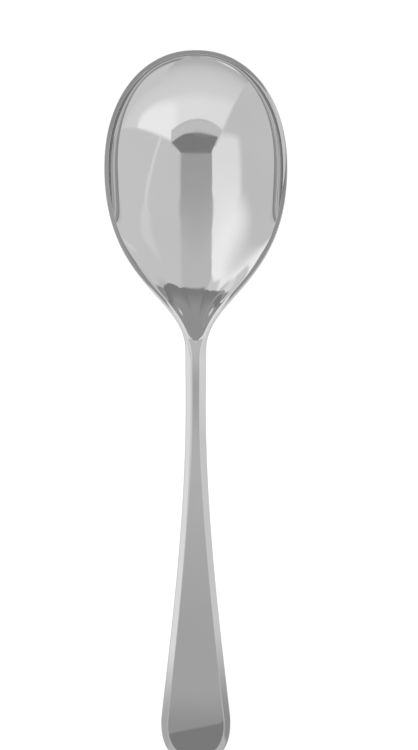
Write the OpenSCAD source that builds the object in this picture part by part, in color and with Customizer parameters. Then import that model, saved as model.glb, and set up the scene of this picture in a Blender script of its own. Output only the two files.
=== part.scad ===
// A one-piece serving spoon, lying on a table with the bowl open upwards.
// Lengths called back are measured from the tip of the bowl towards the handle.
// The one body is cut square across into named regions that meet face to face.

/* [Whole spoon] */
// Length from the tip of the bowl to the end of the handle
spoon_length = 230; // [220:1:250]
// Height above the rim of the guide points that lift the handle into its arch
arch_rise = 8; // [5:0.5:11]
// Depth of the flats that the spoon rests on
rest_cut = 0.15; // [0.1:0.01:0.25]

/* [Bowl] */
// Widest width of the bowl, outside the rim
bowl_width = 59.2; // [52:0.2:66]
// Length from the tip back to the widest place
front_length = 38; // [34:0.5:42]
// Length from the widest place back to the neck
taper_length = 59; // [54:0.5:64]
// Length from the widest place back to the deepest place
deep_gap = 2; // [0:0.5:8]
// Depth of the hollow under the rim
bowl_depth = 10.75; // [9:0.25:13]
// Thickness of the metal at the bottom of the bowl
bowl_wall = 1.8; // [1.5:0.1:2.4]
// Length of solid metal between the end of the hollow and the neck
hollow_gap = 3; // [1:0.25:6]
// Length of the rounded end of the hollow
hollow_round = 2.6; // [1.6:0.1:4]
// How far the rim sinks towards the tip
tip_dip = 0.8; // [0:0.1:1.6]
// Squareness of the front outline, where 2 is an ellipse
front_power = 2.13; // [2:0.01:2.4]
// Fullness of the hollow across and at the tip, where a half is an ellipse and 1 a parabola
hollow_power = 0.75; // [0.6:0.01:0.9]
// Fullness of the hollow across the heel, where more than 1 meets the rim softly
heel_power = 1.45; // [1:0.05:1.8]

/* [Rim] */
// Width of the land along the rim
rim_land = 1.5; // [1.2:0.1:2]
// How far the land rolls down at its outer edge
rim_roll = 0.4; // [0.2:0.05:0.5]
// Height of the upright side of the rim
rim_edge = 0.8; // [0.6:0.1:1]

/* [Neck and stem] */
// Width of the neck
neck_width = 6.9; // [6:0.1:8]
// Thickness of the neck
neck_thickness = 4.2; // [3.6:0.1:5]
// Height of the upright sides of the neck
neck_edge = 1.3; // [1:0.1:1.5]
// Length over which the metal thickens towards the neck
swell_length = 28; // [20:1:36]

/* [Handle] */
// Widest width of the handle
handle_width = 22.5; // [18:0.25:26]
// Thickness of the wide part of the handle
handle_thickness = 2.4; // [2.2:0.1:3]
// Height of the upright sides at the handle's end
handle_edge = 0.9; // [0.7:0.05:1.1]
// Width of the long bevel down each side
bevel_width = 2.2; // [1.8:0.1:2.4]
// Depth of the long bevel at the neck
bevel_drop = 0.85; // [0.5:0.05:1]
// Depth of the bevel at the handle's end
end_drop = 0.35; // [0.2:0.05:0.5]
// Length of the rounded end
end_round = 13.5; // [11:0.5:16]
// Squareness of the rounded end, where 2 is an ellipse
end_power = 2.5; // [2:0.05:2.8]
// How far the end turns down below the line of the handle
end_turn = 1.2; // [0:0.1:2]
// Length of the part that turns down
turn_length = 28; // [20:1:40]

/* [Smoothness] */
// Rays round the front of the bowl
front_rays = 22; // [12:1:26]
// Rays from the widest place back to the neck
back_rays = 28; // [16:1:32]
// Rays from the neck to the rounded end
handle_rays = 40; // [20:1:60]
// Rays round the end of the handle
end_rays = 14; // [8:1:20]
// Facets from the centre line to the rim in the bowl
bowl_steps = 13; // [8:1:16]
// Facets from the centre line to the side under the handle
handle_steps = 6; // [3:1:8]
// Facets from the centre line to the bevel on the handle's flat top
flat_steps = 2; // [1:1:4]

/* [Hidden] */

deep_back = front_length + deep_gap;
neck_back = front_length + taper_length;
hollow_back = neck_back - hollow_gap;
end_back = spoon_length - end_round;
hollow_width = bowl_width - 2 * rim_land;
hollow_front = front_length - rim_land;
// How gently the back of the bowl runs out under the end of the hollow
run_out = hollow_gap / 2;
rim_height = run(bowl_depth) + bowl_wall - rest_cut;
// Height of the line of the spoon at its end, where the lower corner just meets the table
end_height = end_drop + handle_edge - rest_cut;
// Heights of even guide points from the deepest place to the end, as shares of the arch's rise
arch_shares = [0, 0, 0, 1, 1.35, 0.7, -0.35];
line_guides = concat(
    [for (share = arch_shares) rim_height + arch_rise * share],
    [end_height + end_turn]
);
// Where the land of the rim begins and ends to turn into the bevel, as shares of the bowl's taper
bevel_start_share = 0.86;
bevel_end_share = 1.06;
bevel_start = front_length + taper_length * bevel_start_share;
bevel_end = front_length + taper_length * bevel_end_share;
// Where the handle has thinned, as a share of the way from the neck to the rounded end
thin_share = 0.85;
// Where the sections have become those of the heel, as a share of the way to the hollow's end
soft_share = 0.7;
soft_back = mix(deep_back, hollow_back, soft_share);
// Reaches of the outline's two curves, as shares of their lengths
shoulder_share = 0.645;
heel_share = 0.295;
stem_share = 0.19;
flare_share = 0.4;
flare_width_share = 0.126;
flare_end_share = 0.957;
// Where the regions of the handle are cut, as shares of its rays
neck_cut_share = 0.2;
stem_cut_share = 0.45;
handle_cut_share = 0.85;
// Facets across the land or bevel, as shares of its width from the outline
land_shares = [0.55, 0.22, 0];
// How sharply the land rolls down: 1 is a straight bevel
roll_power = 3;
steel = [0.62, 0.62, 0.62];

function mix(a, b, share) = a + (b - a) * share;
function held(value) = min(max(value, 0), 1);
function ease(value) = let (v = held(value)) v * v * v * (v * (6 * v - 15) + 10);
function between(value, from, to) = (value - from) / (to - from);

// A point on a smooth curve that a few points pull towards themselves, and its direction
function on_curve(points, t) =
    len(points) == 1 ? points[0]
    : on_curve([for (i = [1 : len(points) - 1]) mix(points[i - 1], points[i], t)], t);
function along_curve(points, t) =
    len(points) == 2 ? points[1] - points[0]
    : along_curve([for (i = [1 : len(points) - 1]) mix(points[i - 1], points[i], t)], t);

// Half outlines seen from above, each point as [half width, distance back]
bowl_curve = [
    [bowl_width / 2, front_length],
    [bowl_width / 2, mix(front_length, neck_back, shoulder_share)],
    [neck_width / 2, mix(neck_back, front_length, heel_share)],
    [neck_width / 2, neck_back]
];
handle_curve = [
    [neck_width / 2, neck_back],
    [neck_width / 2, mix(neck_back, end_back, stem_share)],
    [handle_width / 2 * flare_width_share, mix(neck_back, end_back, flare_share)],
    [handle_width / 2, mix(neck_back, end_back, flare_end_share)],
    [handle_width / 2, end_back]
];

// Things that change along the spoon, each at a distance back from the tip
function neck_ease(back) = ease(between(back, bevel_start, bevel_end));
function thin_ease(back) = ease(between(back, bevel_end, mix(neck_back, end_back, thin_share)));
function turn_share(back) = held(between(back, spoon_length - turn_length, spoon_length));
function land(back) = mix(rim_land, bevel_width, neck_ease(back));
function drop(back) =
    mix(mix(rim_roll, bevel_drop, neck_ease(back)), end_drop, ease(turn_share(back)));
function roll(back) = mix(roll_power, 1, neck_ease(back));
function edge(back) =
    mix(mix(rim_edge, neck_edge, neck_ease(back)), handle_edge, thin_ease(back));
function thickness(back) =
    mix(mix(bowl_wall, neck_thickness, ease(between(back, neck_back - swell_length, neck_back))),
        handle_thickness, thin_ease(back));

// Height of the rim and of the handle's flat top, seen from the side
function line_height(back) =
    on_curve(line_guides, held(between(back, deep_back, spoon_length)))
    - tip_dip * held(between(back, front_length, 0)) ^ 3
    - end_turn * turn_share(back) ^ 3;

// A dome over a share of the way from its deepest place to its edge
function dome(share, power) = max(1 - share ^ 2, 0) ^ power;

// The sections are full in the middle of the bowl and meet the rim softly at the heel
function fullness(back) = mix(hollow_power, heel_power, ease(between(back, deep_back, soft_back)));

// Depth of the hollow along its centre line, below zero past its end
function centre_depth(back) =
    back < deep_back ? bowl_depth * dome(between(back, deep_back, rim_land), hollow_power)
    : bowl_depth * (1 - between(back, deep_back, hollow_back) ^ 2);

// How deep the back of the bowl lies there: it runs out smoothly past the end of the hollow
function run(depth) = (depth + sqrt(depth ^ 2 + run_out ^ 2)) / 2;

// How far the rounded back stands below the lower corners of the sides, along the centre line
function belly(back) =
    back < deep_back
    ? (run(bowl_depth) + bowl_wall - rim_roll - rim_edge)
        * dome(between(back, deep_back, 0), hollow_power)
    : run(centre_depth(back)) + thickness(back) - drop(back) - edge(back);

// The end of the hollow rounds off before it reaches the stem
function hollow_closing(back) =
    sqrt(1 - held(between(back, hollow_back - hollow_round, hollow_back)) ^ 2);

// Half width of a round outline of the front, at a distance back
function front_half(back, half_width, length) =
    let (ahead = between(back, front_length, front_length - length))
    half_width * max(1 - ahead ^ front_power, 0) ^ (1 / front_power);

// Share of the way to such an outline, straight across the spoon from the centre line.
// Past the front, the share along the ray is the same thing
function across(point, share, half_width, length) =
    point[1] >= front_length ? share
    : point[0] == 0 ? 0
    : point[0] / front_half(point[1], half_width, length);

function hollow_depth(point, share) =
    let (closing = hollow_closing(point[1]))
    closing == 0 ? 0
    : centre_depth(point[1])
        * dome(across(point, share, hollow_width / 2, hollow_front) / closing, fullness(point[1]));

// A ray runs from the outline in to the centre line, seen from above:
// [outline point, point where the land or bevel ends, distance back at the centre line]
function round_point(angle, half_width, length, power) =
    [half_width * sin(angle) ^ (2 / power), length * cos(angle) ^ (2 / power)];
function tip_ray(angle) =
    let (
        outer = round_point(angle, bowl_width / 2, front_length, front_power),
        inner = round_point(angle, hollow_width / 2, hollow_front, front_power)
    )
    [[outer[0], front_length - outer[1]], [inner[0], front_length - inner[1]], front_length];
function taper_ray(t) =
    let (
        outer = on_curve(bowl_curve, t),
        way = along_curve(bowl_curve, t),
        inner = outer + [-way[1], way[0]] / norm(way) * land(outer[1])
    )
    [outer, inner, inner[1]];
function stem_ray(t) =
    let (outer = on_curve(handle_curve, t)) [outer, outer - [land(outer[1]), 0], outer[1]];
function end_ray(angle) =
    let (
        outer = round_point(angle, handle_width / 2, end_round, end_power),
        inner = round_point(angle, handle_width / 2 - bevel_width, end_round - bevel_width, end_power)
    )
    [outer + [0, end_back], inner + [0, end_back], end_back];

bowl_rays = concat(
    [for (i = [0 : front_rays]) tip_ray(90 * i / front_rays)],
    [for (i = [1 : back_rays]) taper_ray(i / back_rays)]
);
stem_rays = [for (i = [0 : handle_rays]) stem_ray(i / handle_rays)];
round_rays = [for (i = [1 : end_rays]) end_ray(90 - 90 * i / end_rays)];

// Points from the centre line above, out over the land, down the side and back in below
function half_section(ray, top_steps, steps) =
    let (
        outer = ray[0],
        inner = ray[1],
        centre = [0, ray[2]],
        fall = drop(outer[1]),
        corner = fall + edge(outer[1])
    )
    concat(
        [for (i = [0 : top_steps])
            let (share = sin(90 * i / top_steps), point = mix(centre, inner, share))
            [point[0], point[1], line_height(point[1]) - hollow_depth(point, share)]],
        [for (share = land_shares)
            let (point = mix(outer, inner, share))
            [point[0], point[1], line_height(point[1]) - fall * (1 - share) ^ roll(outer[1])]],
        [for (i = [steps : -1 : 0])
            let (
                share = sin(90 * i / steps),
                point = mix(centre, outer, share),
                out = across(point, share, bowl_width / 2, front_length),
                deep = belly(point[1]) * dome(out, fullness(point[1]))
            )
            [point[0], point[1], max(line_height(point[1]) - corner - deep, 0)]]
    );

// The same points on both sides, in the spoon's own frame
function section(ray, top_steps, steps) =
    let (half = half_section(ray, top_steps, steps), last = len(half) - 1)
    concat(
        [for (p = half) [p[0], spoon_length / 2 - p[1], p[2]]],
        [for (i = [last - 1 : -1 : 1]) [0 - half[i][0], spoon_length / 2 - half[i][1], half[i][2]]]
    );

// Do the corners of a facet all differ? Those at a shared centre point or on a seam don't
function spread(p) = p[0] != p[1] && p[1] != p[2] && p[2] != p[0];

// A skin over a run of rays, with a square cut at each end that isn't a rounded one
module skin(rays, top_steps, steps, cut_first, cut_last) {
    rings = [for (ray = rays) section(ray, top_steps, steps)];
    count = len(rings[0]);
    below = count / 2;
    last = (len(rings) - 1) * count;
    points = [for (ring = rings) each ring];
    walls = [
        for (i = [0 : len(rings) - 2])
        for (j = [0 : count - 1])
        let (
            a = i * count + j,
            b = i * count + (j + 1) % count
        )
        each [[a, b, b + count], [a, b + count, a + count]]
    ];
    first_cap = [for (j = [0 : count - 1]) [below, (j + 1) % count, j]];
    last_cap = [for (j = [0 : count - 1]) [last + below, last + j, last + (j + 1) % count]];
    faces = concat(walls, cut_first ? first_cap : [], cut_last ? last_cap : []);
    polyhedron(points, [for (face = faces) if (spread([for (i = face) points[i]])) face]);
}

// The rays of the handle from one cut to the next
function handle_run(from_share, to_share) =
    [for (i = [round(handle_rays * from_share) : round(handle_rays * to_share)]) stem_rays[i]];

module bowl() {
    color(steel) skin(bowl_rays, bowl_steps, bowl_steps, false, true);
}

module neck() {
    rays = handle_run(0, neck_cut_share);
    color(steel) skin(rays, flat_steps, handle_steps, true, true);
}

module stem() {
    rays = handle_run(neck_cut_share, stem_cut_share);
    color(steel) skin(rays, flat_steps, handle_steps, true, true);
}

module handle() {
    rays = handle_run(stem_cut_share, handle_cut_share);
    color(steel) skin(rays, flat_steps, handle_steps, true, true);
}

module handle_end() {
    rays = concat(handle_run(handle_cut_share, 1), round_rays);
    color(steel) skin(rays, flat_steps * 2, handle_steps, true, false);
}

bowl();
neck();
stem();
handle();
handle_end();
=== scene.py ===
"""A polished serving spoon lying on its back, seen from straight above."""

import math

import bpy
import bmesh
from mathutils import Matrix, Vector


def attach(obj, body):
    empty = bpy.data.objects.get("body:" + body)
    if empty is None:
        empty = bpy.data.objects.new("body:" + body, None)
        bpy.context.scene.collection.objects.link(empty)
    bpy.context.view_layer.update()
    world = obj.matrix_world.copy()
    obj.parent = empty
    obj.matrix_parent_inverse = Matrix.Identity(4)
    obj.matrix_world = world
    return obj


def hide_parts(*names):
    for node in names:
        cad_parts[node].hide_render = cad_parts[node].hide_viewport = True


MM = 0.001

# Sizes of the spoon in millimetres, the same as in the solids
SPOON_LENGTH = 230.0
ARCH_RISE = 8.0
REST_CUT = 0.15
BOWL_WIDTH = 59.2
FRONT_LENGTH = 38.0
TAPER_LENGTH = 59.0
DEEP_LENGTH = 40.0
BOWL_DEPTH = 10.75
BOWL_WALL = 1.8
HOLLOW_GAP = 3.0
HOLLOW_ROUND = 2.6
TIP_DIP = 0.8
FRONT_POWER = 2.13
HOLLOW_POWER = 0.75
HEEL_POWER = 1.45
RIM_LAND = 1.5
RIM_ROLL = 0.4
RIM_EDGE = 0.8
NECK_WIDTH = 6.9
NECK_THICKNESS = 4.2
NECK_EDGE = 1.3
SWELL_LENGTH = 28.0
HANDLE_WIDTH = 22.5
HANDLE_THICKNESS = 2.4
HANDLE_EDGE = 0.9
BEVEL_WIDTH = 2.2
BEVEL_DROP = 0.85
END_DROP = 0.35
END_ROUND = 13.5
END_POWER = 2.5
END_TURN = 1.2
TURN_LENGTH = 28.0

# Shares of these sizes that place the bends of the curves, and the powers of their bends
ARCH_SHARES = (0, 0, 0, 1, 1.35, 0.7, -0.35)
BEVEL_START_SHARE = 0.86
BEVEL_END_SHARE = 1.06
THIN_SHARE = 0.85
SOFT_SHARE = 0.7
SHOULDER_SHARE = 0.645
HEEL_SHARE = 0.295
STEM_SHARE = 0.19
FLARE_SHARE = 0.4
FLARE_WIDTH_SHARE = 0.126
FLARE_END_SHARE = 0.957
ROLL_POWER = 3
DIP_POWER = 3
TURN_POWER = 3

# How fine the skin is, and how softly its edges are rounded
FRONT_RAYS = 90
BACK_RAYS = 120
HANDLE_RAYS = 120
END_RAYS = 50
HOLLOW_STEPS = 44
FLAT_STEPS = 8
LAND_STEPS = 10
EDGE_STEPS = 5
UNDER_STEPS = 30
BREAK_SHARE = 0.08
UPPER_ROUND = 0.28
LOWER_ROUND = 0.3
ROUND_PULL = 0.55
# Points closer together than WELD, in millimetres, become one. NUDGE is a short step, as a share.
WELD = 1e-4
NUDGE = 1e-4

NECK_BACK = FRONT_LENGTH + TAPER_LENGTH
HOLLOW_BACK = NECK_BACK - HOLLOW_GAP
END_BACK = SPOON_LENGTH - END_ROUND
HOLLOW_WIDTH = BOWL_WIDTH - 2 * RIM_LAND
HOLLOW_FRONT = FRONT_LENGTH - RIM_LAND
RUN_OUT = HOLLOW_GAP / 2
END_HEIGHT = END_DROP + HANDLE_EDGE - REST_CUT
BEVEL_START = FRONT_LENGTH + TAPER_LENGTH * BEVEL_START_SHARE
BEVEL_END = FRONT_LENGTH + TAPER_LENGTH * BEVEL_END_SHARE


# The spoon's form, in millimetres. A point is (half width, distance back from the tip).

def mix(a, b, share):
    return a + (b - a) * share


def mix_points(a, b, share):
    return tuple(mix(u, v, share) for u, v in zip(a, b))


def held(value):
    return min(max(value, 0.0), 1.0)


def ease(value):
    v = held(value)
    return v * v * v * (v * (6 * v - 15) + 10)


def between(value, start, end):
    return (value - start) / (end - start)


def on_curve(points, t):
    while len(points) > 1:
        points = [mix_points(a, b, t) for a, b in zip(points, points[1:])]
    return points[0]


def along_curve(points, t):
    while len(points) > 2:
        points = [mix_points(a, b, t) for a, b in zip(points, points[1:])]
    return (points[1][0] - points[0][0], points[1][1] - points[0][1])


def run(depth):
    """How deep the back of the bowl lies: it runs out smoothly past the end of the hollow."""
    return (depth + math.hypot(depth, RUN_OUT)) / 2


RIM_HEIGHT = run(BOWL_DEPTH) + BOWL_WALL - REST_CUT
LINE_GUIDES = [
    *((RIM_HEIGHT + ARCH_RISE * share,) for share in ARCH_SHARES),
    (END_HEIGHT + END_TURN,),
]
BOWL_CURVE = [
    (BOWL_WIDTH / 2, FRONT_LENGTH),
    (BOWL_WIDTH / 2, mix(FRONT_LENGTH, NECK_BACK, SHOULDER_SHARE)),
    (NECK_WIDTH / 2, mix(NECK_BACK, FRONT_LENGTH, HEEL_SHARE)),
    (NECK_WIDTH / 2, NECK_BACK),
]
HANDLE_CURVE = [
    (NECK_WIDTH / 2, NECK_BACK),
    (NECK_WIDTH / 2, mix(NECK_BACK, END_BACK, STEM_SHARE)),
    (HANDLE_WIDTH / 2 * FLARE_WIDTH_SHARE, mix(NECK_BACK, END_BACK, FLARE_SHARE)),
    (HANDLE_WIDTH / 2, mix(NECK_BACK, END_BACK, FLARE_END_SHARE)),
    (HANDLE_WIDTH / 2, END_BACK),
]


def neck_ease(back):
    return ease(between(back, BEVEL_START, BEVEL_END))


def thin_ease(back):
    return ease(between(back, BEVEL_END, mix(NECK_BACK, END_BACK, THIN_SHARE)))


def turn_share(back):
    return held(between(back, SPOON_LENGTH - TURN_LENGTH, SPOON_LENGTH))


def land(back):
    return mix(RIM_LAND, BEVEL_WIDTH, neck_ease(back))


def drop(back):
    return mix(mix(RIM_ROLL, BEVEL_DROP, neck_ease(back)), END_DROP, ease(turn_share(back)))


def roll(back):
    return mix(ROLL_POWER, 1, neck_ease(back))


def edge(back):
    return mix(mix(RIM_EDGE, NECK_EDGE, neck_ease(back)), HANDLE_EDGE, thin_ease(back))


def thickness(back):
    swell = ease(between(back, NECK_BACK - SWELL_LENGTH, NECK_BACK))
    return mix(mix(BOWL_WALL, NECK_THICKNESS, swell), HANDLE_THICKNESS, thin_ease(back))


def line_height(back):
    arch = on_curve(LINE_GUIDES, held(between(back, DEEP_LENGTH, SPOON_LENGTH)))[0]
    dip = TIP_DIP * held(between(back, FRONT_LENGTH, 0)) ** DIP_POWER
    return arch - dip - END_TURN * turn_share(back) ** TURN_POWER


def hollow_closing(back):
    return math.sqrt(1 - held(between(back, HOLLOW_BACK - HOLLOW_ROUND, HOLLOW_BACK)) ** 2)


def fullness(back):
    """The sections are full in the middle of the bowl and meet the rim softly at the heel."""
    heel = mix(DEEP_LENGTH, HOLLOW_BACK, SOFT_SHARE)
    return mix(HOLLOW_POWER, HEEL_POWER, ease(between(back, DEEP_LENGTH, heel)))


def dome(share, power=HOLLOW_POWER):
    return max(1 - share ** 2, 0.0) ** power


def centre_depth(back):
    if back < DEEP_LENGTH:
        return BOWL_DEPTH * dome(between(back, DEEP_LENGTH, RIM_LAND))
    return BOWL_DEPTH * (1 - between(back, DEEP_LENGTH, HOLLOW_BACK) ** 2)


def belly(back):
    if back < DEEP_LENGTH:
        full = run(BOWL_DEPTH) + BOWL_WALL - RIM_ROLL - RIM_EDGE
        return full * dome(between(back, DEEP_LENGTH, 0))
    return run(centre_depth(back)) + thickness(back) - drop(back) - edge(back)


def front_half(back, half_width, length):
    """Half width of a round outline of the front."""
    share = held(between(back, FRONT_LENGTH, FRONT_LENGTH - length))
    return half_width * (1 - share ** FRONT_POWER) ** (1 / FRONT_POWER)


def across(x, back, share, half_width, length):
    """Share of the way out to such an outline, straight across the spoon."""
    if back >= FRONT_LENGTH:
        return share
    half = front_half(back, half_width, length)
    return min(x / half, 1.0) if half > 0 and x > 0 else 0.0


class Ray:
    """A run in from the outline to the centre line.

    It starts at outer, its land or bevel ends at inner, and it stops at back on the centre line.
    """

    def __init__(self, outer, inner, back):
        self.outer, self.inner, self.back = outer, inner, back
        self.land = math.hypot(outer[0] - inner[0], outer[1] - inner[1])
        self.closing = hollow_closing(back)
        self.fall = drop(outer[1])
        self.roll = roll(outer[1])
        self.corner = self.fall + edge(outer[1])


def round_point(angle, half_width, length, power):
    """A point of a rounded end, measured out from the middle of its widest line."""
    return (half_width * abs(math.sin(angle)) ** (2 / power),
            length * abs(math.cos(angle)) ** (2 / power))


def tip_ray(share):
    angle = math.pi / 2 * share
    outer = round_point(angle, BOWL_WIDTH / 2, FRONT_LENGTH, FRONT_POWER)
    inner = round_point(angle, HOLLOW_WIDTH / 2, HOLLOW_FRONT, FRONT_POWER)
    return Ray((outer[0], FRONT_LENGTH - outer[1]),
               (inner[0], FRONT_LENGTH - inner[1]), FRONT_LENGTH)


def taper_ray(t):
    outer, way = on_curve(BOWL_CURVE, t), along_curve(BOWL_CURVE, t)
    reach = land(outer[1]) / math.hypot(*way)
    inner = (outer[0] - way[1] * reach, outer[1] + way[0] * reach)
    return Ray(outer, inner, inner[1])


def stem_ray(t):
    outer = on_curve(HANDLE_CURVE, t)
    return Ray(outer, (outer[0] - land(outer[1]), outer[1]), outer[1])


def end_ray(share):
    angle = math.pi / 2 * share
    outer = round_point(angle, HANDLE_WIDTH / 2, END_ROUND, END_POWER)
    inner = round_point(angle, HANDLE_WIDTH / 2 - BEVEL_WIDTH, END_ROUND - BEVEL_WIDTH, END_POWER)
    return Ray((outer[0], END_BACK + outer[1]), (inner[0], END_BACK + inner[1]), END_BACK)


def rays():
    front = [tip_ray(i / FRONT_RAYS) for i in range(FRONT_RAYS + 1)]
    taper = [taper_ray(i / BACK_RAYS) for i in range(1, BACK_RAYS + 1)]
    stem = [stem_ray(i / HANDLE_RAYS) for i in range(1, HANDLE_RAYS + 1)]
    end = [end_ray(1 - i / END_RAYS) for i in range(1, END_RAYS + 1)]
    return front + taper + stem + end


def top_point(ray, share):
    """Out from the centre line, over the hollow or the flat top, to the land."""
    x, back = mix_points((0.0, ray.back), ray.inner, share)
    depth = 0.0
    if ray.closing > 0:
        out = across(x, back, share, HOLLOW_WIDTH / 2, HOLLOW_FRONT) / ray.closing
        depth = centre_depth(back) * dome(out, fullness(back))
    return x, back, line_height(back) - depth


def land_point(ray, share):
    """Out over the land or bevel, whose inner break is softly rounded."""
    x, back = mix_points(ray.inner, ray.outer, share)
    full = math.hypot(1, BREAK_SHARE) - BREAK_SHARE
    rounded = (math.hypot(share, BREAK_SHARE) - BREAK_SHARE) / full
    return x, back, line_height(back) - ray.fall * rounded ** ray.roll


def under_point(ray, share):
    """Out from the centre line under the spoon, held to the two flats that it rests on."""
    x, back = mix_points((0.0, ray.back), ray.outer, share)
    out = across(x, back, share, BOWL_WIDTH / 2, FRONT_LENGTH)
    depth = ray.corner + belly(back) * dome(out, fullness(back))
    return x, back, max(line_height(back) - depth, 0.0)


def rounded_edge(start, way_out, end, way_in, pull):
    """Points of a soft turn from start to end, without the two ends."""
    first = tuple(a + pull * b for a, b in zip(start, way_out))
    second = tuple(a - pull * b for a, b in zip(end, way_in))
    return [on_curve([start, first, second, end], i / EDGE_STEPS) for i in range(1, EDGE_STEPS)]


def direction(a, b):
    way = Vector(b) - Vector(a)
    return tuple(way.normalized()) if way.length > 0 else (0.0, 0.0, 0.0)


def half_section(ray):
    """Points from the centre line above, out round the edge, and back in below."""
    shares = [ray.closing * math.sin(math.pi / 2 * i / HOLLOW_STEPS) for i in range(HOLLOW_STEPS)]
    shares += [mix(ray.closing, 1, i / FLAT_STEPS) for i in range(FLAT_STEPS)]
    points = [top_point(ray, share) for share in shares]
    last = 1 - UPPER_ROUND / ray.land
    points += [land_point(ray, last * i / LAND_STEPS) for i in range(LAND_STEPS + 1)]
    height = line_height(ray.outer[1])
    side_top = (*ray.outer, height - ray.fall - UPPER_ROUND)
    side_foot = (*ray.outer, max(height - ray.corner + LOWER_ROUND, LOWER_ROUND / 2))
    down = (0.0, 0.0, -1.0)
    way_out = direction(land_point(ray, last - NUDGE), land_point(ray, last))
    points += rounded_edge(points[-1], way_out, side_top, down, UPPER_ROUND * ROUND_PULL)
    points += [side_top]
    reach = math.hypot(ray.outer[0], ray.outer[1] - ray.back)
    turned = 1 - LOWER_ROUND / reach
    below = under_point(ray, turned)
    way_in = direction(below, under_point(ray, turned - NUDGE))
    points += [side_foot] + rounded_edge(side_foot, down, below, way_in, LOWER_ROUND * ROUND_PULL)
    fan = math.asin(turned)
    points += [under_point(ray, math.sin(fan * i / UNDER_STEPS))
               for i in range(UNDER_STEPS, -1, -1)]
    return points


def placed(point, side):
    return (point[0] * side * MM, (SPOON_LENGTH / 2 - point[1]) * MM, point[2] * MM)


def skin():
    """One closed skin: the same sections on both sides, welded along the middle."""
    sections = [half_section(ray) for ray in rays()]
    mesh = bmesh.new()
    for side in (1, -1):
        rings = [[mesh.verts.new(placed(p, side)) for p in section] for section in sections]
        for before, after in zip(rings, rings[1:]):
            for i in range(len(before) - 1):
                corners = [before[i], after[i], after[i + 1], before[i + 1]]
                mesh.faces.new(corners if side > 0 else corners[::-1])
    bmesh.ops.remove_doubles(mesh, verts=mesh.verts, dist=WELD * MM)
    bmesh.ops.dissolve_degenerate(mesh, edges=mesh.edges, dist=WELD * MM)
    bmesh.ops.recalc_face_normals(mesh, faces=mesh.faces)
    for face in mesh.faces:
        face.smooth = True
    data = bpy.data.meshes.new("spoon")
    mesh.to_mesh(data)
    mesh.free()
    return data


# Materials

STEEL_COLOR = (0.62, 0.62, 0.62, 1)
DARKEST_TINT = 0.97
CLEAN_ROUGHNESS = 0.025
SMUDGE_ROUGHNESS = 0.04
WIPE_ROUGHNESS = 0.02
WIPE_STRETCH = 0.04
WIPE_TURN = math.radians(4)
WIPE_DEPTH = 0.00005 * MM
WAVE_DEPTH = 0.02 * MM
# The noise of each pattern, and the part of its range in which the pattern grows to full
SMUDGE_NOISE = {"scale": 90, "detail": 4, "roughness": 0.6, "distortion": 0.8}
SMUDGE_RANGE = (0.45, 0.75)
WIPE_NOISE = {"scale": 5200, "detail": 3, "roughness": 0.6}
WIPE_RANGE = (0.55, 0.8)
TINT_NOISE = {"scale": 40, "detail": 3}
TINT_RANGE = (0.3, 0.7)
WAVE_NOISE = {"scale": 45, "detail": 1}


class Nodes:
    """Makes the nodes of one material or world, with short calls."""

    def __init__(self, owner):
        owner.use_nodes = True
        self.tree = owner.node_tree
        self.tree.nodes.clear()

    def add(self, kind, **settings):
        node = self.tree.nodes.new(kind)
        for name, value in settings.items():
            setattr(node, name, value)
        return node

    def put(self, socket, value):
        if isinstance(value, bpy.types.NodeSocket):
            self.tree.links.new(value, socket)
        else:
            socket.default_value = value

    def math(self, operation, *values, clamp=False):
        node = self.add("ShaderNodeMath", operation=operation, use_clamp=clamp)
        for socket, value in zip(node.inputs, values):
            self.put(socket, value)
        return node.outputs[0]

    def ramp(self, value, from_min, from_max, to_min=0.0, to_max=1.0):
        node = self.add("ShaderNodeMapRange", interpolation_type="SMOOTHSTEP")
        for name, part in zip(("Value", "From Min", "From Max", "To Min", "To Max"),
                              (value, from_min, from_max, to_min, to_max)):
            self.put(node.inputs[name], part)
        return node.outputs["Result"]

    def place(self, scale, turn=(0, 0, 0)):
        coords = self.add("ShaderNodeTexCoord")
        mapping = self.add("ShaderNodeMapping")
        self.put(mapping.inputs["Vector"], coords.outputs["Object"])
        mapping.inputs["Scale"].default_value = scale
        mapping.inputs["Rotation"].default_value = turn
        return mapping.outputs["Vector"]

    def noise(self, vector, scale, detail, roughness=0.5, distortion=0.0):
        node = self.add("ShaderNodeTexNoise")
        self.put(node.inputs["Vector"], vector)
        node.inputs["Scale"].default_value = scale
        node.inputs["Detail"].default_value = detail
        node.inputs["Roughness"].default_value = roughness
        node.inputs["Distortion"].default_value = distortion
        return node.outputs["Fac"]

    def bump(self, height, distance):
        node = self.add("ShaderNodeBump")
        node.inputs["Strength"].default_value = 1.0
        node.inputs["Distance"].default_value = distance
        self.put(node.inputs["Height"], height)
        return node


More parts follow.
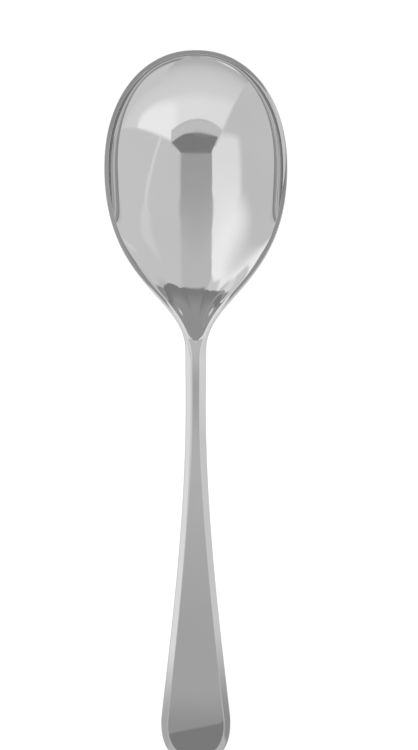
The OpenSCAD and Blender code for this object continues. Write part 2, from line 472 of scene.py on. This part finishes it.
def polished_steel():
    """Mirror-polished steel with faint smudges, fine wipe marks and a little unevenness."""
    material = bpy.data.materials.new("polished_steel")
    n = Nodes(material)
    shader = n.add("ShaderNodeBsdfPrincipled")
    output = n.add("ShaderNodeOutputMaterial")
    n.put(output.inputs["Surface"], shader.outputs["BSDF"])
    plain = n.place((1, 1, 1))
    along = n.place((1, WIPE_STRETCH, 1), (0, 0, WIPE_TURN))
    smudges = n.ramp(n.noise(plain, **SMUDGE_NOISE), *SMUDGE_RANGE)
    wipes = n.ramp(n.noise(along, **WIPE_NOISE), *WIPE_RANGE)
    tint = n.ramp(n.noise(plain, **TINT_NOISE), *TINT_RANGE, DARKEST_TINT, 1.0)
    color = n.add("ShaderNodeMix", data_type="RGBA", blend_type="MULTIPLY")
    color.inputs["Factor"].default_value = 1.0
    color.inputs["A"].default_value = STEEL_COLOR
    n.put(color.inputs["B"], tint)
    n.put(shader.inputs["Base Color"], color.outputs["Result"])
    shader.inputs["Metallic"].default_value = 1.0
    rough = n.math("ADD", n.math("MULTIPLY", smudges, SMUDGE_ROUGHNESS),
                   n.math("MULTIPLY", wipes, WIPE_ROUGHNESS))
    n.put(shader.inputs["Roughness"], n.math("ADD", rough, CLEAN_ROUGHNESS))
    waves = n.bump(n.noise(plain, **WAVE_NOISE), WAVE_DEPTH)
    fine = n.bump(wipes, WIPE_DEPTH)
    n.put(fine.inputs["Normal"], waves.outputs["Normal"])
    n.put(shader.inputs["Normal"], fine.outputs["Normal"])
    return material


def object_from(name, data, material):
    piece = bpy.data.objects.new(name, data)
    piece.data.materials.append(material)
    bpy.context.scene.collection.objects.link(piece)
    return piece


# Studio

FLOOR_SIZE = 30.0
FLOOR_COLOR = 0.85
FLOOR_LIFT = 0.58
WORLD_LIGHT = 1.0
# Heights of the sheets of light, in millimetres
ROOF_HEIGHT = 110.0
HANDLE_CARD_HEIGHT = 45.0
HEEL_CARD_HEIGHT = 26.0
RIM_CARD_HEIGHT = 17.0

# The camera looks straight down on what the photograph shows, sizes in metres but for the sensor
PHOTO_ROWS = 750
PIXEL = 0.322 * MM
SENSOR = 36.0
CAMERA_HEIGHT = 2.4
VIEW_CENTRE = (4.25 * MM, 10.2 * MM)


def even(light):
    """The same light all over a shape."""
    return (light, 0, light, 1)


# What the metal mirrors: soft shapes on level sheets, in millimetres seen from above, later
# shapes over earlier ones. Their names tell where the photograph shows them, and the hollow
# swaps left and right. A shape has these parts:
# - its light, as (light, y, light, y), which changes smoothly between two places along y;
# - its corners, convex and counter-clockwise, each with the softness of the side from it to the
#   next one; a corner out at FAR carries a border on along its slant;
# - only if it has one, its bowed border, as (y in the middle, softness): it lies past that.
FAR = 9000.0
WHOLE = ((-FAR, -FAR, 1), (FAR, -FAR, 1), (FAR, FAR, 1), (-FAR, FAR, 1))
# A bowed border bends away on both sides, so that it looks straight in the narrowing bowl
BOW_LEAN = 0.88
BOW_BEND = 98.0
DARKEST = even(0.31)
DARK = even(0.44)
EDGE_LIGHT = even(0.72)
STRIPE_LIGHT = (0.53, 72, 0.75, 112)
SIDE_LIGHT = (1.12, 66, 1.34, 125)

# The soft roof over the spoon
ROOF_SHAPES = {
    "front": ((0.70, -90, 1.03, 60), WHOLE),
    "front glow": (even(1.15), ((-60, 38, 14), (60, 38, 14), (60, 75, 14), (-60, 75, 14))),
    "bright corner": (even(1.30), (
        (22, 43, 12), (70, 36, 14), (100, 43, 10), (98, 50, 3), (36, 63.5, 3), (22, 66.5, 14))),
    "left field": (even(0.86), ((14, 66, 3), (FAR, -1660, 1), (FAR, FAR, 1), (14, FAR, 1))),
    "right field": (even(0.82), (
        (-16, 71.4, 1), (-16, FAR, 1), (-FAR, FAR, 1), (-FAR, -7727, 4))),
    "bright side": (SIDE_LIGHT, ((0, 60, 1), (0, 100, 20), (-66, 100, 14), (-56, 60, 6))),
    "bright band": (SIDE_LIGHT, (
        (0, 84, 16), (0, FAR, 1), (-FAR, FAR, 1), (-FAR, 7868, 26), (-61, 92, 16))),
    "left edge": (EDGE_LIGHT, ((400, -FAR, 1), (FAR, -FAR, 1), (FAR, FAR, 1), (400, FAR, 200))),
    "right edge": (EDGE_LIGHT, (
        (-420, FAR, 1), (-FAR, FAR, 1), (-FAR, -FAR, 1), (-420, -FAR, 200))),
    "streak": (even(1.02), ((43.1, 59.8, 2), (68.1, 83.3, 3), (65.9, 85.7, 2), (40.9, 62.2, 2))),
    "lower streak": (even(1.0), (
        (66.1, 78.4, 4), (97.1, 119.4, 4), (92.9, 122.6, 3), (61.9, 81.6, 4))),
    "last streak": (even(0.96), (
        (93.2, 112.2, 8), (193.2, 196.2, 60), (186.8, 203.8, 6), (86.8, 119.8, 6))),
    "stripe": (STRIPE_LIGHT, ((-17.8, 66, 1.5), (16.3, 66, 4), (17.5, 84, 1.5), (-19, 84, 1.5))),
    "wider stripe": (STRIPE_LIGHT, (
        (-18.6, 82, 1.5), (17, 82, 4), (31.5, 101, 1.5), (-33.5, 101, 1.5))),
    "open stripe": (STRIPE_LIGHT, (
        (-31, 99, 1.5), (29.5, 99, 5), (58.5, 123, 1.5), (-61, 123, 1.5))),
    "far stripe": (STRIPE_LIGHT, (
        (-59, 121, 1.5), (56, 121, 7), (120, 171, 1.5), (-128, 175, 1.5))),
    "arc": (EDGE_LIGHT, (
        (-31, 58.4, 1), (-25.3, 56.4, 1), (-16, 54.4, 1), (-4.8, 53.4, 1), (6, 53.9, 1),
        (17.5, 55.8, 1), (28, 58.6, 1), (28, 66, 1), (-22, 66, 1))),
    "ring": (even(0.82), (
        (-30.3, 59.2, 0.6), (-25.3, 57.2, 0.6), (-16, 55.2, 0.6), (-4.8, 54.2, 0.6),
        (6, 54.7, 0.6), (17.5, 56.6, 0.6), (28, 59.2, 1), (28, 66, 1), (-22, 66, 1))),
    "cap": (DARKEST, (
        (-25.3, 61.7, 0.8), (-13.4, 60.7, 0.8), (-2.4, 60.1, 0.8), (11.8, 60.6, 0.8),
        (19.7, 62.1, 0.8), (27.5, 64.3, 0.8), (16.4, 68.8, 1), (-16.9, 68.8, 0.8),
        (-21.5, 65, 0.8))),
    "foot of the band": (even(0.90), (
        (-330, 344, 6), (-200, 226, 3), (-93, 147, 2), (-70, FAR, 1), (-330, FAR, 30))),
    "right corner": (even(1.06), (
        (-330, 345, 30), (-330, FAR, 1), (-FAR, FAR, 1), (-FAR, 8208, 8))),
    "open end": (DARKEST, (
        (2.6, 75.8, 3), (FAR, 8128, 1), (FAR, FAR, 1), (-FAR, FAR, 1), (-FAR, 8221, 5)),
        (120.8, 1.2)),
    "open depth": (DARK, (
        (2.6, 78, 6), (FAR, 8132, 1), (FAR, FAR, 1), (-FAR, FAR, 1), (-FAR, 8227, 6)),
        (126.0, 10.0)),
    "right of the handle": ((0.42, -175, 0.9, -110), (
        (60, -320, 60), (320, -320, 60), (320, -10, 6), (60, 10, 6))),
}
# Low cards that only the metal sees: each has its height, its corners and its shapes
CARDS = {
    "handle_card": (HANDLE_CARD_HEIGHT, (
        (-14, -160), (14, -160), (14, -60), (4, -10), (4, 28), (-4, 28), (-4, -10), (-14, -60),
    ), {
        "stem": ((0.69, -10, 0.58, 12), WHOLE),
        "neck": ((0.58, 12, 0.74, 24), (
            (-FAR, 12, 2), (FAR, 12, 2), (FAR, FAR, 1), (-FAR, FAR, 1))),
        "handle": ((0.57, -95, 0.67, -25), (
            (-FAR, -FAR, 1), (FAR, -FAR, 1), (FAR, -24, 4), (-FAR, -24, 4))),
        "turned end": ((0.45, -136, 0.57, -112), (
            (-FAR, -FAR, 1), (FAR, -FAR, 1), (FAR, -104, 4), (-FAR, -104, 4))),
        "end": (DARKEST, (
            (-FAR, -FAR, 1), (FAR, -FAR, 1), (20, -128, 2), (-20, -143.4, 2))),
    }),
    "bevel_card": (HANDLE_CARD_HEIGHT, (
        (-64, -170), (-26, -170), (-28, 32), (-52, 32),
    ), {
        "plain": ((0.62, -128, 1.13, -92), WHOLE),
    }),
    "rim_card": (RIM_CARD_HEIGHT, (
        (-23.3, 41.4), (-15.7, 36.7), (-19.5, 43.4), (-23.7, 50.5), (-25.9, 57.9), (-26.8, 65.4),
        (-27, 72.8), (-27.1, 79.5), (-26.5, 85.9), (-25, 92.2), (-22.4, 98.5), (-20.4, 104),
        (-16.1, 109.2), (-26.1, 119.7), (-31.8, 111.9), (-35.4, 104.9), (-38.3, 96.1),
        (-40, 88.1), (-40.6, 80.2), (-40.5, 73.3), (-39.6, 66.8), (-37.7, 60.5), (-34.4, 54.2),
        (-29.7, 48.3),
    ), {
        "plain": ((0.50, 78, 0.42, 98), WHOLE),
    }),
    "heel_card_left": (HEEL_CARD_HEIGHT, (
        (11, 31), (FAR, 5964), (FAR, 8420), (83.5, 126), (67.4, 111), (58, 100), (48.8, 91.3),
        (41.5, 84.3), (34.8, 77.9), (20, 63.5), (11, 57),
    ), {
        "plain": (DARK, WHOLE),
        "edge": (DARKEST, ((11, 51, 7), (FAR, 8320, 1), (FAR, FAR, 1), (11, FAR, 1))),
    }),
    "heel_card_right": (HEEL_CARD_HEIGHT, (
        (-9.5, 30), (-9.5, 55.4), (-20, 62.6), (-30.9, 72), (-49.1, 88.1), (-63, 101),
        (-88, 125), (-96.3, 134.4), (-FAR, FAR), (-FAR, 5964),
    ), {
        "plain": (DARK, WHOLE),
        "edge": (DARKEST, ((-FAR, 7871, 7), (-9, 48.5, 1), (-9, FAR, 1), (-FAR, FAR, 1))),
    }),
}


def floor_material():
    """Pale and lit by the studio, and as white in view as the photograph's background."""
    material = bpy.data.materials.new("floor")
    n = Nodes(material)
    output = n.add("ShaderNodeOutputMaterial")
    diffuse = n.add("ShaderNodeBsdfDiffuse")
    diffuse.inputs["Color"].default_value = (FLOOR_COLOR,) * 3 + (1,)
    path = n.add("ShaderNodeLightPath")
    seen = n.math("ADD", path.outputs["Is Camera Ray"], path.outputs["Is Glossy Ray"])
    seen = n.math("ADD", seen, path.outputs["Is Transmission Ray"], clamp=True)
    lift = n.add("ShaderNodeEmission")
    n.put(lift.inputs["Strength"], n.math("MULTIPLY", seen, FLOOR_LIFT))
    both = n.add("ShaderNodeAddShader")
    n.put(both.inputs[0], diffuse.outputs["BSDF"])
    n.put(both.inputs[1], lift.outputs["Emission"])
    n.put(output.inputs["Surface"], both.outputs["Shader"])
    return material


def make_floor():
    data = bpy.data.meshes.new("floor")
    half = FLOOR_SIZE / 2
    corners = [(-half, -half, 0), (half, -half, 0), (half, half, 0), (-half, half, 0)]
    data.from_pydata(corners, [], [range(len(corners))])
    object_from("floor", data, floor_material())


def inside_corners(n, x, y, corners):
    """How far a place lies inside the soft sides of a shape."""
    inside = 1.0
    for (x1, y1, soft), (x2, y2, _) in zip(corners, corners[1:] + corners[:1]):
        length = math.hypot(x2 - x1, y2 - y1)
        across_x, across_y = (y1 - y2) / length, (x2 - x1) / length
        past = n.math("MULTIPLY_ADD", x, across_x, -across_x * x1 - across_y * y1)
        past = n.math("MULTIPLY_ADD", y, across_y, past)
        inside = n.math("MULTIPLY", inside, n.ramp(past, -soft / 2, soft / 2))
    return inside


def inside_bow(n, x, y, middle, soft):
    """How far a place lies past a border that bends away on both sides."""
    reach = n.math("SQRT", n.math("MULTIPLY_ADD", x, x, BOW_BEND ** 2))
    border = n.math("MULTIPLY_ADD", reach, BOW_LEAN, middle - BOW_LEAN * BOW_BEND)
    return n.ramp(n.math("SUBTRACT", y, border), -soft / 2, soft / 2)


def painted_light(name, shapes):
    """Light that changes over a level sheet, as the soft shapes tell."""
    material = bpy.data.materials.new(name)
    material.cycles.emission_sampling = "NONE"
    n = Nodes(material)
    parts = n.add("ShaderNodeSeparateXYZ")
    n.put(parts.inputs["Vector"], n.add("ShaderNodeTexCoord").outputs["Object"])
    x = n.math("DIVIDE", parts.outputs["X"], MM)
    y = n.math("DIVIDE", parts.outputs["Y"], MM)
    light = 0.0
    for (near, near_y, far, far_y), corners, *bows in shapes.values():
        inside = inside_corners(n, x, y, corners)
        for middle, soft in bows:
            inside = n.math("MULTIPLY", inside, inside_bow(n, x, y, middle, soft))
        level = n.ramp(y, near_y, far_y, near, far)
        light = n.math("MULTIPLY_ADD", n.math("SUBTRACT", level, light), inside, light)
    emission = n.add("ShaderNodeEmission")
    n.put(emission.inputs["Strength"], light)
    n.put(n.add("ShaderNodeOutputMaterial").inputs["Surface"], emission.outputs["Emission"])
    return material


def make_sheet(name, corners, height, shapes):
    """A level sheet of soft light over the spoon, out of the camera's sight."""
    data = bpy.data.meshes.new(name)
    points = [(x * MM, y * MM, height * MM) for x, y in corners]
    data.from_pydata(points, [], [range(len(corners))])
    sheet = object_from(name, data, painted_light(name, shapes))
    sheet.visible_camera = False
    return sheet


def make_tent():
    """A roof of soft light close over the spoon, and low cards under it."""
    make_sheet("roof", [corner[:2] for corner in WHOLE], ROOF_HEIGHT, ROOF_SHAPES)
    for name, (height, corners, shapes) in CARDS.items():
        card = make_sheet(name, corners, height, shapes)
        card.visible_diffuse = card.visible_shadow = False


def make_world():
    world = bpy.data.worlds.new("studio")
    bpy.context.scene.world = world
    n = Nodes(world)
    background = n.add("ShaderNodeBackground")
    background.inputs["Color"].default_value = (1, 1, 1, 1)
    background.inputs["Strength"].default_value = WORLD_LIGHT
    n.put(n.add("ShaderNodeOutputWorld").inputs["Surface"], background.outputs["Background"])


def make_camera():
    data = bpy.data.cameras.new("camera")
    data.sensor_width = SENSOR
    data.lens = SENSOR * CAMERA_HEIGHT / (PHOTO_ROWS * PIXEL)
    camera = bpy.data.objects.new("camera", data)
    camera.location = (*VIEW_CENTRE, CAMERA_HEIGHT + RIM_HEIGHT * MM)
    bpy.context.scene.collection.objects.link(camera)
    bpy.context.scene.camera = camera


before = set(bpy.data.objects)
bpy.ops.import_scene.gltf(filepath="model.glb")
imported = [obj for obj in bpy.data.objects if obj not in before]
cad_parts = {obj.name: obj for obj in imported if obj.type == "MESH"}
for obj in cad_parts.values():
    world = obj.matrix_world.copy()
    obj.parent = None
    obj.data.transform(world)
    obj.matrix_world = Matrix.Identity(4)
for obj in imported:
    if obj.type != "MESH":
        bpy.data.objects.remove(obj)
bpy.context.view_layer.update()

spoon = object_from("spoon", skin(), polished_steel())
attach(spoon, "root")
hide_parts("bowl", "neck", "stem", "handle", "handle_end")

make_floor()
make_tent()
make_world()
make_camera()
bpy.context.scene.view_settings.view_transform = "Standard"
